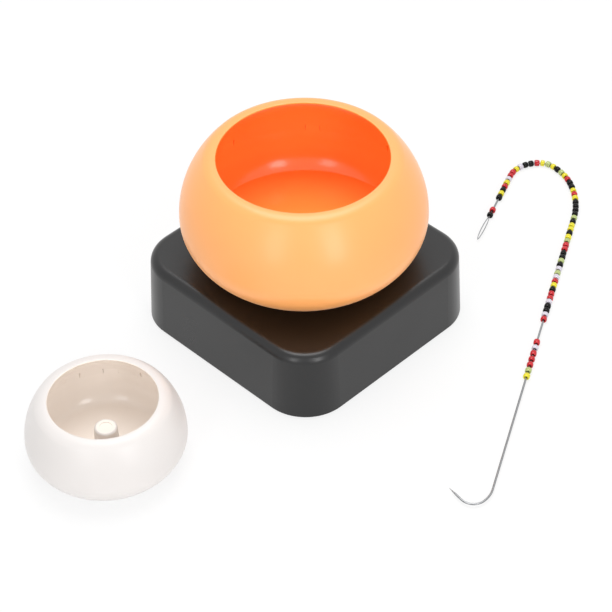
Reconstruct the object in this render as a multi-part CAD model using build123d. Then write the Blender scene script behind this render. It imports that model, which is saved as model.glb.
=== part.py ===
from build123d import *
import os
from math import acos, asin, cos, degrees, pi, radians, sin, sqrt, tan

# Electric bead spinner set: a square motor case that turns a bowl of loose beads, a smaller spare
# bowl that fits the same drive peg, and the hooked wire needle that picks the beads up.
# Lengths are millimetres and angles are degrees. The origin is on the spindle's axis at table level,
# the sides of the case run along X and Y, and its controls are on the +Y side.

os.makedirs("parts", exist_ok=True)

# Clearances that several pieces share.
fit_gap = 0.15  # between parts that are pushed together by hand
run_gap = 0.05  # on the radius, round a turning shaft or a screw's clear hole
air_gap = 0.3  # between parts that move past each other
overrun = 2.0  # how far a cut runs past the face that it opens

# Case: one moulded shell, open below, standing on rubber feet.
base_side = 130.0
base_corner = 24.5
case_draft = 2.76
case_edge = 4.8
case_wall = 2.4
foot_lift = 1.2
boss_inset = 15.0
boss_radius = 3.6

# Cover that closes the case from below.
cover_thick = 2.2
foot_radius = 6.0
foot_sink = 0.8
foot_inset = 24.0
foot_rounding = 0.5

# Screws: thread radius, head radius and head height of the two sizes used.
screw_radius = 1.25
screw_head = 2.6
screw_head_high = 1.7
screw_length = 9.0
small_screw_radius = 0.9
small_screw_head = 1.9
small_screw_head_high = 1.2
small_screw_length = 5.0
cross_wide = 0.7
cross_deep = 0.8

# Battery bay for three AA cells, lying side by side along X.
cell_count = 3
cell_radius = 7.1
cell_length = 50.2
cell_nub_radius = 2.7
cell_nub_high = 1.1
cell_rim = 0.9
bay_wall = 1.6
bay_side = 34.0
spring_room = 5.6
contact_thick = 0.5
contact_side = 10.5
spring_radius = 3.6
spring_wire = 0.35
spring_turns = 3
door_thick = 2.0
door_grip_wide = 14.0
door_grip_deep = 4.0
latch_wide = 12.0
latch_long = 9.0
latch_slit = 0.8

# Gear plate, and the train: motor pinion, idler and spindle gear.
plate_gap = 0.7
plate_thick = 2.2
plate_margin = 5.0
plate_boss_radius = 3.4
gear_module = 0.8
pressure_angle = 25.0
backlash = 0.09
addendum_share = 0.8
dedendum_share = 1.08
pinion_teeth = 12
idler_wide_teeth = 48
idler_small_teeth = 16
spindle_teeth = 56
idler_wide_width = 4.0
idler_small_width = 6.0
spindle_gear_width = 4.8
idler_angle = 35.0
motor_angle = -20.0
motor_screw_angles = (60, 240)
plate_place_angles = (190, 125, 75, -112)
idler_pin_radius = 1.5
idler_hub_radius = 4.0
gear_web = 1.8
gear_rim = 2.6

# Spindle and its bearings.
spindle_radius = 2.5
bush_wall = 1.5
bush_flange_wide = 1.5
bush_flange = 1.0
bush_length = 7.5
bush_boss = 3.25
spindle_tube_wall = 3.0
washer_thick = 0.5
clip_thick = 0.6
clip_groove = 0.45
clip_wide = 2.2
spindle_tail = 1.2

# Drive hub: the flange that the bowl stands on and the six-sided peg that turns it.
peg_flats = 8.0
peg_height = 15.3
peg_chamfer = 0.8
hub_flange_radius = 14.0
hub_flange = 0.8
hub_float = 0.5

# Motor: a flat can with two magnets, a three-pole rotor and a plastic end cap.
can_radius = 12.2
can_height = 12.3
can_wall = 0.8
can_nose_radius = 3.1
can_nose_high = 1.2
magnet_thick = 1.6
magnet_high = 7.0
magnet_angle = 130.0
rotor_radius = 8.9
rotor_high = 4.4
pole_neck = 2.6
pole_tip = 1.5
slot_mouth = 1.2
winding_high = 1.2
motor_shaft_radius = 1.0
commutator_radius = 2.3
commutator_high = 1.8
end_cap_thick = 1.5
brush_thick = 0.3
brush_wide = 2.2

# Control panel let into the +Y wall, and what is mounted on it.
panel_wide = 76.0
panel_high = 25.0
panel_corner = 4.0
panel_middle_z = 19.0
panel_middle_x = -4.0
panel_sink = 1.7
pot_x = -27.0
pot_radius = 8.0
pot_deep = 7.8
pot_foot = 12.0
pot_wall = 0.8
thread_radius = 3.5
thread_out = 2.7
nut_flats = 10.0
nut_thick = 2.0
knob_radius = 11.0
knob_length = 13.0
knob_taper = 1.0
knob_rounding = 1.4
knob_flute_count = 20
flute_radius = 1.1
pointer_wide = 1.2
pointer_deep = 0.6
shaft_radius = 3.0
switch_x = 4.0
switch_wide = 10.5
switch_high = 15.0
switch_bezel = 1.5
switch_lip = 0.8
switch_deep = 12.0
rocker_wide = 7.0
rocker_high = 10.4
rocker_out = 3.9
rocker_dip = 1.3
rocker_root = 1.2
rocker_tilt = 7.0
rocker_pin = 0.8
terminal_wide = 2.8
terminal_thick = 0.6
terminal_long = 4.0
usb_x = 24.0
usb_wide = 9.0
usb_high = 3.3
usb_long = 7.5
usb_wall = 0.3
usb_tongue = 0.7
usb_tongue_wide = 6.2

# Circuit board, level, behind the control panel.
board_thick = 1.6
board_lift = 5.6
board_wide = 80.0
board_deep = 24.0
board_back = 1.0
board_hole_inset = 3.2
board_post_radius = 2.8
capacitor_radius = 3.2
capacitor_high = 7.0
capacitor_rounding = 0.3
chip_wide = 6.0
chip_long = 5.0
chip_high = 1.6
chip_leg = 0.9
chip_leg_thick = 0.3
chip_leg_count = 4
socket_wide = 7.5
socket_deep = 4.2
socket_high = 5.0

# Leads between the cells, the board, the motor and the switch.
lead_radius = 0.65
lead_bend = 1.2
lead_space = 2.4

# Large bowl: two shells that snap together at the widest place.
bowl_radius = 63.6
bowl_middle = 26.6
bowl_top_reach = 55.3
bowl_foot_reach = 37.5
bowl_rim_high = 62.2
bowl_rim_share = 0.702
bowl_wall = 2.6
bowl_floor_high = 9.7
bowl_floor_share = 0.87377
bowl_floor_rounding = 0.8
bowl_tab_count = 8
bowl_tab_angle = 40.5

# Small bowl: the same make, in a smaller size, standing loose beside the case.
spare_radius = 40.0
spare_middle = 15.6
spare_top_reach = 38.9
spare_foot_reach = 22.9
spare_rim_high = 39.4
spare_rim_share = 0.698
spare_wall = 2.4
spare_floor_high = 4.0
spare_floor_share = 0.84043
spare_floor_rounding = 4.5
spare_tab_count = 12
spare_tab_angle = 14.5
spare_x = 4.8
spare_y = -143.5

# What both bowls share.
floor_thick = 2.0
lip_rounding = 7.0
lip_inner_rounding = 0.5
spigot_thick = 1.0
spigot_high = 4.2
tab_wide = 7.4
tab_high = 8.4
foot_ring = 3.0
rib_count = 8
rib_thick = 1.6
rib_drop = 1.0
socket_post_radius = 5.8
socket_post_root = 6.4
socket_post_high = 19.5
socket_post_rounding = 1.2
socket_post_dish = 0.4
socket_post_dish_radius = 3.2
socket_flange_radius = 11.0
socket_flange = 1.6
socket_lift = 0.4
socket_depth = 15.8
post_boss_wall = 2.4

# Needle: one hooked steel wire with a long eye, lying on the table with beads threaded on it.
wire_radius = 0.55
needle_x = 21.98
needle_y = 121.45
needle_angle = 113.07
needle_leg = 38.94
crown_radii = (17.81, 10.0, 33.27, 60.0)
crown_angles = (73.14, 40.03, 32.24, 28.71)
needle_shank = 209.86
hook_radii = (16.01, 7.33)
hook_angles = (32.48, 96.3)
hook_end = 4.4
point_long = 5.0
point_radius = 0.06
eye_long = 20.0
eye_wide = 2.2
eye_thick = 0.5
eye_strand = 0.45
bead_radius = 1.85
bead_length = 2.7
bead_rounding = 0.75
bead_hole = 0.7

# Beads on the wire from its eye to its hook: where a group starts, its pitch and its colours.
bead_starts = (2.4, 18.6, 220.2)
bead_pitches = (4.5, 3.394, 4.333)
bead_colours = (
    "kr",
    "kykrycrryckkrygykgyrkkyrykkkkgkyykygrrkkgkcgcrykrrckkcr",
    "rcrrrgy",
)
bead_names = {"r": "red", "y": "yellow", "k": "black", "g": "green", "c": "clear"}

# Levels and places that follow from the sizes above.
skirt_z = foot_lift
cover_z = skirt_z + cover_thick
door_z = skirt_z + door_thick
cell_z = door_z + air_gap + cell_radius
bay_roof_z = cell_z + cell_radius + air_gap
bay_top = bay_roof_z + bay_wall
plate_z = bay_top + plate_gap
plate_top = plate_z + plate_thick
idler_z = plate_top + washer_thick + air_gap
idler_step_z = idler_z + idler_wide_width
idler_top = idler_step_z + idler_small_width
spindle_gear_z = idler_top - spindle_gear_width - air_gap
gear_hub_top = idler_top + air_gap
bush_flange_z = gear_hub_top + fit_gap
roof_z = bush_flange_z + bush_flange + bush_boss
case_top = roof_z + case_wall
lower_bush_z = plate_top - bush_length
hub_z = case_top + hub_float
seat_z = hub_z + hub_flange
bowl_z = seat_z - socket_lift
bush_radius = spindle_radius + bush_wall
flange_radius = bush_radius + bush_flange_wide
boss_place = base_side / 2 - boss_inset
foot_place = base_side / 2 - foot_inset
board_z = cover_z + board_lift
board_top = board_z + board_thick
panel_face = base_side / 2 - panel_sink
panel_back = panel_face - case_wall
board_edge = panel_back - board_back
board_x_low = panel_middle_x - board_wide / 2
board_x_high = panel_middle_x + board_wide / 2
board_y_low = board_edge - board_deep
board_holes = [
    (x, y)
    for x in (board_x_low + board_hole_inset, board_x_high - board_hole_inset)
    for y in (board_y_low + board_hole_inset, board_edge - board_hole_inset)
]
camber = tan(radians(case_draft))


def pitch_radius(teeth):
    return gear_module * teeth / 2


idler_reach = pitch_radius(idler_small_teeth) + pitch_radius(spindle_teeth)
motor_reach = pitch_radius(pinion_teeth) + pitch_radius(idler_wide_teeth)
idler_x = idler_reach * cos(radians(idler_angle))
idler_y = idler_reach * sin(radians(idler_angle))
motor_x = idler_x + motor_reach * cos(radians(motor_angle))
motor_y = idler_y + motor_reach * sin(radians(motor_angle))


def put(name, shape):
    export_step(shape, "parts/" + name + ".step")


def group(pieces):
    return Compound(children=[Part() + piece for piece in pieces])


def rod(x, y, radius, low, high):
    """A round bar that stands on the level low and ends at the level high."""
    return Pos(x, y, low) * Cylinder(radius, high - low, align=(Align.CENTER, Align.CENTER, Align.MIN))


def tube(x, y, outer, inner, low, high):
    return rod(x, y, outer, low, high) - rod(x, y, inner, low, high)


def rod_back(x, z, radius, near, far):
    """A round bar along Y, from y = near to y = far."""
    bar = Cylinder(radius, far - near, align=(Align.CENTER, Align.CENTER, Align.MIN))
    return Pos(x, near, z) * Rot(-90, 0, 0) * bar


def block(x_low, x_high, y_low, y_high, z_low, z_high):
    middle = Pos((x_low + x_high) / 2, (y_low + y_high) / 2, (z_low + z_high) / 2)
    return middle * Box(x_high - x_low, y_high - y_low, z_high - z_low)


def slab_back(x, z, wide, high, corner, near, far):
    """A plate with round corners that faces along Y, from y = near to y = far."""
    face = Pos(x, near, z) * Rot(-90, 0, 0) * RectangleRounded(wide, high, corner)
    return extrude(face, far - near)


def case_block(inset, low, high):
    """A block inside the case's outline, inset all round, whose sides lean as the case's walls do."""
    shrink = inset + (low - skirt_z) * camber
    side = base_side - 2 * shrink
    outline = Pos(0, 0, low) * RectangleRounded(side, side, base_corner - shrink)
    return extrude(outline, high - low, taper=case_draft)


def round_top(solid, radius):
    return fillet(solid.faces().sort_by(Axis.Z)[-1].edges(), radius)


def cross_cut(x, y, z, reach):
    """The cross recess of a screw, cut upwards from the level z."""
    cut = block(x - reach, x + reach, y - cross_wide / 2, y + cross_wide / 2, z, z + cross_deep)
    return cut + block(x - cross_wide / 2, x + cross_wide / 2, y - reach, y + reach, z, z + cross_deep)


def screw_up(x, y, seat, radius, length, head, head_high):
    """A pan-head screw that points up, with the underside of its head on the level seat."""
    low = seat - head_high
    cap = rod(x, y, head, low, seat)
    cap = fillet(cap.faces().sort_by(Axis.Z)[0].edges(), head_high / 3)
    return cap + rod(x, y, radius, low + cross_deep, seat + length) - cross_cut(x, y, low, head * 2 / 3)


def screw_down(x, y, seat, radius, length, head, head_high):
    """The same screw pointing down."""
    upright = screw_up(x, y, seat, radius, length, head, head_high)
    return mirror(upright, Plane.XY.offset(seat))


# Case. Bosses hang from its roof for the cover, the circuit board, the gear plate, the upper bush
# and the idler pin, so everything but the cells is put in from below before the cover goes on.
corner_places = [(sx * boss_place, sy * boss_place) for sx in (-1, 1) for sy in (-1, 1)]


def around(x, y, reach, angle):
    return (x + reach * cos(radians(angle)), y + reach * sin(radians(angle)))


spindle_tip_radius = pitch_radius(spindle_teeth) + gear_module * addendum_share
idler_tip_radius = pitch_radius(idler_wide_teeth) + gear_module * addendum_share
boss_clear = plate_boss_radius + 2 * air_gap
plate_places = [
    around(0, 0, spindle_tip_radius + boss_clear, plate_place_angles[0]),
    around(idler_x, idler_y, idler_tip_radius + boss_clear, plate_place_angles[1]),
    around(motor_x, motor_y, can_radius + boss_clear, plate_place_angles[2]),
    around(motor_x, motor_y, can_radius + boss_clear, plate_place_angles[3]),
]
cover_screw_seat = skirt_z + screw_head_high + fit_gap
plate_screw_tip = plate_z + small_screw_length

case = round_top(case_block(0, skirt_z, case_top), case_edge)
hollow = round_top(case_block(case_wall, skirt_z - overrun, roof_z), case_edge - case_wall)
shell = case - hollow
into_roof = roof_z + case_wall / 2
pad_wide = panel_wide + 2 * case_wall
pad_high = panel_high + 2 * case_wall
pad = slab_back(
    panel_middle_x, panel_middle_z, pad_wide, pad_high, panel_corner, panel_back, panel_face
)
shell += pad & case
for x, y in corner_places:
    shell += rod(x, y, boss_radius, cover_z, into_roof)
for x, y in board_holes:
    shell += rod(x, y, board_post_radius, board_top, into_roof)
for x, y in plate_places:
    shell += rod(x, y, plate_boss_radius, plate_top, into_roof)
shell += rod(0, 0, flange_radius + case_wall, bush_flange_z + bush_flange, into_roof)
shell += rod(idler_x, idler_y, idler_hub_radius, gear_hub_top, into_roof)
for x, y in corner_places:
    shell -= rod(x, y, screw_radius, cover_z - overrun, cover_screw_seat + screw_length)
for x, y in plate_places:
    shell -= rod(x, y, small_screw_radius, plate_top - overrun, plate_screw_tip)
for x, y in board_holes:
    shell -= rod(x, y, small_screw_radius, board_top - overrun, board_z + small_screw_length)
shell -= rod(0, 0, bush_radius, bush_flange_z, case_top + overrun)
shell -= rod(idler_x, idler_y, idler_pin_radius, idler_top, roof_z)
panel_cut = base_side / 2 + overrun
shell -= slab_back(
    panel_middle_x, panel_middle_z, panel_wide, panel_high, panel_corner, panel_face, panel_cut
)
switch_body_wide = switch_wide - 2 * switch_lip
switch_body_high = switch_high - 2 * switch_lip
usb_z = board_top + usb_high / 2
usb_round = usb_high / 2 - run_gap
wall_from = panel_back - overrun
shell -= rod_back(pot_x, panel_middle_z, thread_radius + run_gap, wall_from, panel_cut)
shell -= slab_back(
    switch_x,
    panel_middle_z,
    switch_body_wide + 2 * run_gap,
    switch_body_high + 2 * run_gap,
    switch_lip / 2 + run_gap,
    wall_from,
    panel_cut,
)
shell -= slab_back(
    usb_x, usb_z, usb_wide + 2 * fit_gap, usb_high + 2 * fit_gap, usb_round, wall_from, panel_cut
)
put("case_shell", shell)

# Bottom cover, with the battery bay moulded on it.
cell_pitch = 2 * cell_radius + air_gap
bay_long = cell_length + spring_room + 2 * contact_thick
bay_wide = cell_count * cell_pitch + air_gap
bay_x = bay_long / 2
bay_reach = (cell_count - 1) / 2 * cell_pitch
bay_near = -bay_side - bay_wide / 2
bay_far = -bay_side + bay_wide / 2
foot_places = [(sx * foot_place, sy * foot_place) for sx in (-1, 1) for sy in (-1, 1)]
foot_top = skirt_z + foot_sink

cover = case_block(case_wall + fit_gap, skirt_z, cover_z)
bay_shell = block(
    -bay_x - bay_wall, bay_x + bay_wall, bay_near - bay_wall, bay_far + bay_wall, skirt_z, bay_top
)
cover += bay_shell
cover -= block(-bay_x, bay_x, bay_near, bay_far, skirt_z - overrun, bay_roof_z)
for y in (-bay_side - bay_reach, -bay_side + bay_reach):
    lead_hole = Cylinder(lead_radius + run_gap, 2 * bay_x + 2 * bay_wall + 2 * overrun)
    cover -= Pos(0, y, cell_z) * Rot(0, 90, 0) * lead_hole
for x, y in corner_places:
    cover -= rod(x, y, screw_radius + run_gap, skirt_z - overrun, cover_z + overrun)
    cover -= rod(x, y, screw_head + fit_gap, skirt_z - overrun, cover_screw_seat)
for x, y in foot_places:
    cover -= rod(x, y, foot_radius + run_gap, skirt_z - overrun, foot_top)
put("bottom_cover", cover)

# Rubber feet, pressed into their recesses, and the four screws of the cover.
feet = []
for x, y in foot_places:
    foot = rod(x, y, foot_radius, 0, foot_top)
    feet.append(fillet(foot.faces().sort_by(Axis.Z)[0].edges(), foot_rounding))
put("rubber_feet", group(feet))
cover_screws = [
    screw_up(x, y, cover_screw_seat, screw_radius, screw_length, screw_head, screw_head_high)
    for x, y in corner_places
]
put("cover_screws", group(cover_screws))

# Battery door: a plate flush with the cover, with a sprung latch tongue and a finger dip.
door = block(
    -bay_x + air_gap, bay_x - air_gap, bay_near + air_gap, bay_far - air_gap, skirt_z, door_z
)
tongue_x = bay_x - air_gap - latch_long
door -= block(
    tongue_x,
    bay_x,
    -bay_side - latch_wide / 2 - latch_slit,
    -bay_side - latch_wide / 2,
    skirt_z - overrun,
    door_z + overrun,
)
door -= block(
    tongue_x,
    bay_x,
    -bay_side + latch_wide / 2,
    -bay_side + latch_wide / 2 + latch_slit,
    skirt_z - overrun,
    door_z + overrun,
)
door -= block(
    -bay_x + door_grip_deep,
    -bay_x + 2 * door_grip_deep,
    -bay_side - door_grip_wide / 2,
    -bay_side + door_grip_wide / 2,
    skirt_z - overrun,
    skirt_z + door_thick / 2,
)
put("battery_door", door)

# Three AA cells, every other one turned round, each with a coil spring at its flat end. Plates on
# the bay's end walls join them in a row: a double plate for each neighbouring pair, a single one for
# each end of the row.
def cell_row(i):
    return -bay_side + (i - (cell_count - 1) / 2) * cell_pitch


def contact(i, j, side):
    """The plate on the bay's end wall at side -1 or 1 that touches the cells from i to j."""
    near = cell_row(i) - contact_side / 2
    far = cell_row(j) + contact_side / 2
    low, high = cell_z - contact_side / 2, cell_z + contact_side / 2
    outer, inner = side * bay_x, side * (bay_x - contact_thick)
    return block(min(outer, inner), max(outer, inner), near, far, low, high)


spring_face = -bay_x + contact_thick
nub_face = bay_x - contact_thick
body_end = nub_face - cell_nub_high
body_start = nub_face - cell_length
cell = rod(0, 0, cell_radius, body_start, body_end)
cell = fillet(cell.edges().filter_by(GeomType.CIRCLE), cell_rim)
cell += rod(0, 0, cell_nub_radius, body_end, nub_face)
spring_rise = body_start - spring_face - 2 * spring_wire - run_gap
coil = Helix(spring_rise / spring_turns, spring_rise, spring_radius)
coil_start = Plane(origin=coil @ 0, z_dir=coil % 0)
spring = sweep(coil_start * Circle(spring_wire), path=coil, is_frenet=True)
spring = Pos(0, 0, spring_face + spring_wire + run_gap / 2) * spring
cells = []
springs = []
for i in range(cell_count):
    turn = 90 if i % 2 == 0 else -90
    place = Pos(0, cell_row(i), cell_z) * Rot(0, turn, 0)
    cells.append(place * cell)
    springs.append(place * spring)
put("aa_cells", group(cells))
put("battery_springs", group(springs))
last = cell_count - 1
last_side = 1 if last % 2 == 0 else -1
plates = [contact(0, 0, -1), contact(last, last, last_side)]
for i in range(last):
    plates.append(contact(i, i + 1, 1 if i % 2 == 0 else -1))
put("battery_contacts", group(plates))

# Gear plate: it carries the motor, the lower bush in a tube, and the idler's pin.
plate = make_hull([edge for x, y in plate_places for edge in (Pos(x, y) * Circle(plate_margin)).edges()])
plate = Pos(0, 0, plate_z) * extrude(plate, plate_thick)
plate += rod(0, 0, bush_radius + spindle_tube_wall, lower_bush_z, plate_top)
plate -= rod(0, 0, bush_radius, lower_bush_z - overrun, plate_top + overrun)
plate -= rod(idler_x, idler_y, idler_pin_radius, plate_z - overrun, plate_top + overrun)
plate -= rod(motor_x, motor_y, can_nose_radius + run_gap, plate_z - overrun, plate_top + overrun)
motor_screw_reach = can_radius * 2 / 3
motor_screw_places = [around(motor_x, motor_y, motor_screw_reach, a) for a in motor_screw_angles]
for x, y in plate_places + motor_screw_places:
    plate -= rod(x, y, small_screw_radius + run_gap, plate_z - overrun, plate_top + overrun)
put("gear_plate", plate)
plate_screws = [
    screw_up(
        x, y, plate_z, small_screw_radius, small_screw_length, small_screw_head, small_screw_head_high
    )
    for x, y in plate_places
]
put("gear_plate_screws", group(plate_screws))

# Gears: involute teeth, each flank one arc through three points of the true curve.
def involute(angle):
    return tan(angle) - angle


def gear(teeth, width, phase):
    """A spur gear with a tooth centred on the angle phase, standing on the level 0."""
    pitch = pitch_radius(teeth)
    base = pitch * cos(radians(pressure_angle))
    root = pitch - gear_module * dedendum_share
    tip = pitch + gear_module * addendum_share
    flank_start = max(base, root)
    half = pi / 2 / teeth - backlash / pitch + involute(radians(pressure_angle))

    def half_angle(radius):
        return half - involute(acos(min(1, base / radius)))

    def at(radius, angle):
        return (radius * cos(angle), radius * sin(angle))

    middle = (flank_start + tip) / 2
    step = 2 * pi / teeth
    edges = []
    for k in range(teeth):
        a = radians(phase) + k * step
        low, mid, top = half_angle(flank_start), half_angle(middle), half_angle(tip)
        if root < base:
            edges.append(Line(at(root, a - low), at(base, a - low)))
        edges.append(
            ThreePointArc(at(flank_start, a - low), at(middle, a - mid), at(tip, a - top))
        )
        edges.append(ThreePointArc(at(tip, a - top), at(tip, a), at(tip, a + top)))
        edges.append(
            ThreePointArc(at(tip, a + top), at(middle, a + mid), at(flank_start, a + low))
        )
        if root < base:
            edges.append(Line(at(base, a + low), at(root, a + low)))
        end = a + step - low
        edges.append(ThreePointArc(at(root, a + low), at(root, a + step / 2), at(root, end)))
    return extrude(make_face(edges), width)


def web(teeth, hub_radius, width):
    """The ring cut from one face of a large gear, which leaves a thin web between hub and rim."""
    rim = pitch_radius(teeth) - gear_module * dedendum_share - gear_rim
    return tube(0, 0, rim, hub_radius, 0, width - gear_web)


idler_away = idler_angle + 180
wide = gear(idler_wide_teeth, idler_wide_width, motor_angle)
wide -= Pos(0, 0, gear_web) * web(idler_wide_teeth, idler_hub_radius + gear_rim, idler_wide_width)
small = gear(idler_small_teeth, idler_small_width, idler_away + 180 / idler_small_teeth)
idler = wide + Pos(0, 0, idler_wide_width) * small + rod(0, 0, idler_hub_radius, 0, idler_wide_width)
idler -= rod(0, 0, idler_pin_radius + run_gap, -overrun, idler_wide_width + idler_small_width + overrun)
put("idler_gear", Pos(idler_x, idler_y, idler_z) * idler)
idler_pin = rod(idler_x, idler_y, idler_pin_radius, plate_z, roof_z - run_gap)
put("idler_pin", idler_pin)
idler_washer = tube(
    idler_x,
    idler_y,
    idler_pin_radius + gear_rim,
    idler_pin_radius + run_gap,
    plate_top,
    plate_top + washer_thick,
)
put("idler_washer", idler_washer)

spindle_hub_radius = bush_radius + bush_flange_wide
driven = gear(spindle_teeth, spindle_gear_width, idler_angle)
driven -= Pos(0, 0, gear_web) * web(spindle_teeth, spindle_hub_radius, spindle_gear_width)
spindle_gear = Pos(0, 0, spindle_gear_z) * driven
washer_top = plate_top + washer_thick + run_gap
spindle_gear += rod(0, 0, spindle_hub_radius, washer_top + run_gap, gear_hub_top)
spindle_gear -= rod(0, 0, spindle_radius, plate_top, case_top)
put("spindle_gear", spindle_gear)

# Spindle, its two flanged bushes, a nylon washer and the clip that keeps it in.
clip_top = lower_bush_z - bush_flange - run_gap * 2
clip_low = clip_top - clip_thick
spindle_low = clip_low - spindle_tail
spindle_top = seat_z + peg_height * 3 / 4
spindle = rod(0, 0, spindle_radius, spindle_low, spindle_top)
groove = tube(0, 0, spindle_radius, spindle_radius - clip_groove, clip_low, clip_top)
spindle -= groove
screw_tip = spindle_top - small_screw_length
spindle -= rod(0, 0, small_screw_radius, screw_tip, spindle_top)
put("spindle", spindle)
clip = tube(0, 0, spindle_radius - clip_groove + clip_wide, spindle_radius - clip_groove, clip_low, clip_top)
clip -= block(0, 2 * clip_wide + spindle_radius, -clip_wide / 2, clip_wide / 2, clip_low, clip_top)
put("spindle_clip", clip)
washer = tube(
    0, 0, bush_radius, spindle_radius + run_gap, plate_top + run_gap, washer_top
)
put("thrust_washer", washer)


def flanged_bush(flange_low, body_high):
    """A bronze bush with its flange at the foot."""
    bush = rod(0, 0, bush_radius, flange_low, body_high)
    bush += rod(0, 0, flange_radius, flange_low, flange_low + bush_flange)
    return bush - rod(0, 0, spindle_radius + run_gap, flange_low - overrun, body_high + overrun)


put("lower_bush", flanged_bush(lower_bush_z - bush_flange, plate_top))
put("upper_bush", flanged_bush(bush_flange_z, case_top - case_wall / 4))

# Drive hub, pushed on the spindle and held by a small screw from the top.
peg_top = seat_z + peg_height
peg = Pos(0, 0, seat_z) * extrude(RegularPolygon(peg_flats / 2, 6, major_radius=False), peg_height)
peg = chamfer(peg.faces().sort_by(Axis.Z)[-1].edges(), peg_chamfer)
head_seat = peg_top - small_screw_head_high - fit_gap
hub = rod(0, 0, hub_flange_radius, hub_z, seat_z) + peg
hub -= rod(0, 0, spindle_radius, hub_z - overrun, spindle_top)
hub -= rod(0, 0, small_screw_radius + run_gap, spindle_top - run_gap, peg_top + overrun)
hub -= rod(0, 0, small_screw_head + run_gap, head_seat, peg_top + overrun)
put("drive_hub", hub)
hub_screw = screw_down(
    0, 0, head_seat, small_screw_radius, head_seat - screw_tip, small_screw_head, small_screw_head_high
)
put("hub_screw", hub_screw)

# Motor. The can hangs under the gear plate with its nose and shaft through the plate.
can_low = plate_z - can_height
can_inner = can_radius - can_wall
can = rod(0, 0, can_radius, can_low, plate_z) - rod(0, 0, can_inner, can_low - overrun, plate_z - can_wall)
can += rod(0, 0, can_nose_radius, plate_z - can_wall, plate_z + can_nose_high)
motor_bush_radius = can_nose_radius - can_wall
can -= rod(0, 0, motor_bush_radius, plate_z - can_wall - overrun, plate_z + can_nose_high + overrun)
can = Pos(motor_x, motor_y, 0) * can
for x, y in motor_screw_places:
    can -= rod(x, y, small_screw_radius, plate_z - can_wall - overrun, plate_z + overrun)
put("motor_can", can)
motor_screws = [
    screw_down(
        x, y, plate_top, small_screw_radius, plate_thick + can_wall, small_screw_head, small_screw_head_high
    )
    for x, y in motor_screw_places
]
put("motor_screws", group(motor_screws))

cap_top = can_low + end_cap_thick
rotor_low = cap_top + air_gap + commutator_high + winding_high
rotor_top = rotor_low + rotor_high
magnet_low = rotor_low + rotor_high / 2 - magnet_high / 2
end_cap = rod(0, 0, can_inner, can_low, cap_top)
end_cap += rod(0, 0, motor_bush_radius + can_wall, can_low - can_nose_high, cap_top)
end_cap -= rod(0, 0, motor_bush_radius, can_low - can_nose_high - overrun, cap_top + overrun)
put("motor_end_cap", Pos(motor_x, motor_y, 0) * end_cap)
motor_bushes = [
    tube(motor_x, motor_y, motor_bush_radius, motor_shaft_radius + run_gap, low, high)
    for low, high in (
        (can_low - can_nose_high, cap_top),
        (plate_z - can_wall, plate_z + can_nose_high),
    )
]
put("motor_bushes", group(motor_bushes))
magnet_ring = tube(0, 0, can_inner, can_inner - magnet_thick, magnet_low, magnet_low + magnet_high)
magnets = []
for a in (0, 180):
    wedge = Pos(0, 0, magnet_low) * extrude(
        make_face(
            [
                Line((0, 0), around(0, 0, can_radius, a - magnet_angle / 2)),
                ThreePointArc(
                    around(0, 0, can_radius, a - magnet_angle / 2),
                    around(0, 0, can_radius, a),
                    around(0, 0, can_radius, a + magnet_angle / 2),
                ),
                Line(around(0, 0, can_radius, a + magnet_angle / 2), (0, 0)),
            ]
        ),
        magnet_high,
    )
    magnets.append(Pos(motor_x, motor_y, 0) * (magnet_ring & wedge))
put("motor_magnets", group(magnets))

shaft_top = idler_step_z
put("motor_shaft", rod(motor_x, motor_y, motor_shaft_radius, can_low - can_nose_high / 2, shaft_top))
core = rod(0, 0, rotor_radius, rotor_low, rotor_top)
slot_outer = rotor_radius - pole_tip
for a in (60, 180, 300):
    gap = Rot(0, 0, a) * block(pole_neck, slot_outer, -pole_neck, pole_neck, rotor_low, rotor_top)
    slit = block(
        slot_outer - run_gap, rotor_radius + overrun, -slot_mouth / 2, slot_mouth / 2, rotor_low, rotor_top
    )
    core -= gap
    core -= Rot(0, 0, a) * slit
core -= rod(0, 0, motor_shaft_radius, rotor_low, rotor_top)
put("rotor_core", Pos(motor_x, motor_y, 0) * core)
windings = []
coil_out = slot_outer - air_gap
coil_in = pole_neck + pole_tip
for a in (0, 120, 240):
    over = block(coil_in, coil_out, -pole_neck, pole_neck, rotor_top, rotor_top + winding_high)
    under = block(coil_in, coil_out, -pole_neck, pole_neck, rotor_low - winding_high, rotor_low)
    windings.append(Pos(motor_x, motor_y, 0) * Rot(0, 0, a) * over)
    windings.append(Pos(motor_x, motor_y, 0) * Rot(0, 0, a) * under)
put("rotor_windings", group(windings))
commutator_low = rotor_low - winding_high - commutator_high
commutator = tube(
    motor_x, motor_y, commutator_radius, motor_shaft_radius, commutator_low, rotor_low
)
put("commutator", commutator)
brushes = []
for side in (-1, 1):
    inner = side * (commutator_radius + run_gap)
    outer = side * (commutator_radius + run_gap + brush_thick)
    low_x, high_x = min(inner, outer), max(inner, outer)
    brush = block(low_x, high_x, -brush_wide / 2, brush_wide / 2, cap_top, commutator_low + commutator_high)
    brushes.append(Pos(motor_x, motor_y, 0) * brush)
put("motor_brushes", group(brushes))
pinion = gear(pinion_teeth, idler_wide_width, motor_angle + 180 + 180 / pinion_teeth)
pinion -= rod(0, 0, motor_shaft_radius, 0, idler_wide_width)
put("motor_pinion", Pos(motor_x, motor_y, idler_z) * pinion)

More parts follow.
